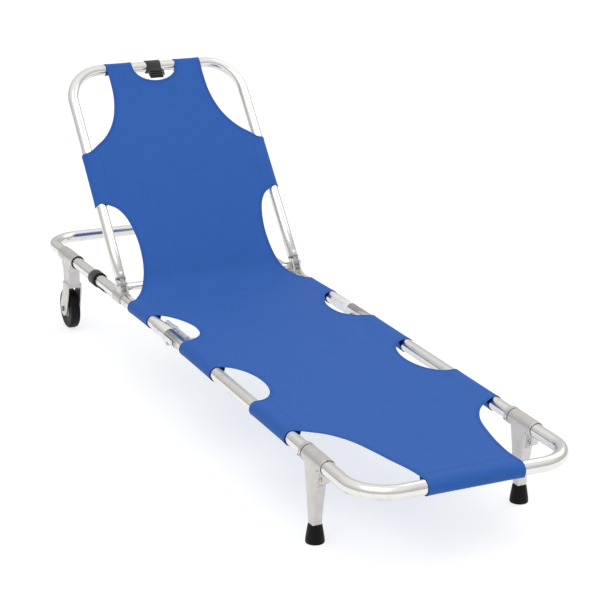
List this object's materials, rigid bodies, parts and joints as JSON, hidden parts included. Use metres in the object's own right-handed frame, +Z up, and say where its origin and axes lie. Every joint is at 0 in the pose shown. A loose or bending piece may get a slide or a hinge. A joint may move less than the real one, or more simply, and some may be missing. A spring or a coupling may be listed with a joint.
{
  "type": "folding stretcher",
  "caption": "Open folding ambulance stretcher: aluminium tube frame, blue cloth bed, raised backrest, wheels at the head end and fixed legs at the foot end.",
  "frame": {"origin": "on the floor under the middle of the open stretcher's length and width", "axes": "+Z up; +Y along the length towards the head end, where the wheels are; +X towards the left side of a patient lying face up with the head at +Y"},
  "size_m": [0.5256, 1.9812, 0.728],
  "materials": {
    "aluminium_tube": "bright drawn tube with fine lengthwise scratches",
    "cast_alloy": "fine-blasted cast aluminium",
    "zinc_steel": "bluish zinc plate",
    "dark_steel": "dark steel",
    "grey_plastic": "moulded nylon",
    "tyre_rubber": "matte black rubber",
    "foot_rubber": "matte black rubber",
    "blue_cloth": "coated oxford weave, hemmed",
    "black_webbing": "ribbed nylon webbing"
  },
  "bodies": {
    "head_frame": {"head_frame_tube": "aluminium_tube", "cross_tube": "aluminium_tube", "cover_seat": "blue_cloth", "rail_strap": "black_webbing", "fold_bracket_head_left": "zinc_steel", "fold_pin_left": "zinc_steel", "backrest_hinge_left": "zinc_steel", "friction_washer_left_outer": "zinc_steel", "friction_washer_left_inner": "zinc_steel", "backrest_bolt_left": "zinc_steel", "wheel_bracket_left": "cast_alloy", "axle_left": "dark_steel", "fold_bracket_head_right": "zinc_steel", "fold_pin_right": "zinc_steel", "backrest_hinge_right": "zinc_steel", "friction_washer_right_outer": "zinc_steel", "friction_washer_right_inner": "zinc_steel", "backrest_bolt_right": "zinc_steel", "wheel_bracket_right": "cast_alloy", "axle_right": "dark_steel"},
    "foot_frame": {"foot_frame_tube": "aluminium_tube", "cover_foot": "blue_cloth", "fold_bracket_foot_left": "zinc_steel", "latch_stud_left": "zinc_steel", "latch_spring_left": "dark_steel", "leg_left": "cast_alloy", "rubber_foot_left": "foot_rubber", "leg_collar_left": "cast_alloy", "fold_bracket_foot_right": "zinc_steel", "latch_stud_right": "zinc_steel", "latch_spring_right": "dark_steel", "leg_right": "cast_alloy", "rubber_foot_right": "foot_rubber", "leg_collar_right": "cast_alloy"},
    "backrest": {"backrest_tube": "aluminium_tube", "cover_backrest": "blue_cloth", "storage_strap": "black_webbing", "storage_buckle": "black_webbing", "backrest_end_plug_left": "grey_plastic", "backrest_rivet_left": "zinc_steel", "backrest_end_plug_right": "grey_plastic", "backrest_rivet_right": "zinc_steel"},
    "wheel_left": {"tyre_left": "tyre_rubber", "wheel_hub_left": "grey_plastic", "wheel_bearing_left_outer": "zinc_steel", "wheel_bearing_left_inner": "zinc_steel"},
    "latch_left": {"latch_lever_left": "zinc_steel"},
    "wheel_right": {"tyre_right": "tyre_rubber", "wheel_hub_right": "grey_plastic", "wheel_bearing_right_outer": "zinc_steel", "wheel_bearing_right_inner": "zinc_steel"},
    "latch_right": {"latch_lever_right": "zinc_steel"}
  },
  "joints": [
    {"name": "fold", "type": "hinge", "parent": "head_frame", "child": "foot_frame", "pos_m": [0, 0.0251, 0.1825], "axis": [1, 0, 0], "range_deg": [0, 152]},
    {"name": "backrest_recline", "type": "hinge", "parent": "head_frame", "child": "backrest", "pos_m": [0, 0.3581, 0.2395], "axis": [1, 0, 0], "range_deg": [-50.5, 24.5]},
    {"name": "wheel_left_spin", "type": "hinge", "parent": "head_frame", "child": "wheel_left", "pos_m": [-0.2395, 0.7911, 0.055], "axis": [1, 0, 0], "continuous": true},
    {"name": "wheel_right_spin", "type": "hinge", "parent": "head_frame", "child": "wheel_right", "pos_m": [0.2395, 0.7911, 0.055], "axis": [1, 0, 0], "continuous": true},
    {"name": "latch_left_lift", "type": "hinge", "parent": "foot_frame", "child": "latch_left", "pos_m": [-0.2395, -0.01747, 0.20232], "axis": [1, 0, 0], "range_deg": [0, 20], "stiffness_Nm_per_rad": 0.3, "springref_deg": -9.74, "deforming": ["latch_spring_left"]},
    {"name": "latch_right_lift", "type": "hinge", "parent": "foot_frame", "child": "latch_right", "pos_m": [0.2395, -0.01747, 0.20232], "axis": [1, 0, 0], "range_deg": [0, 20], "stiffness_Nm_per_rad": 0.3, "springref_deg": -9.74, "deforming": ["latch_spring_right"]}
  ]
}
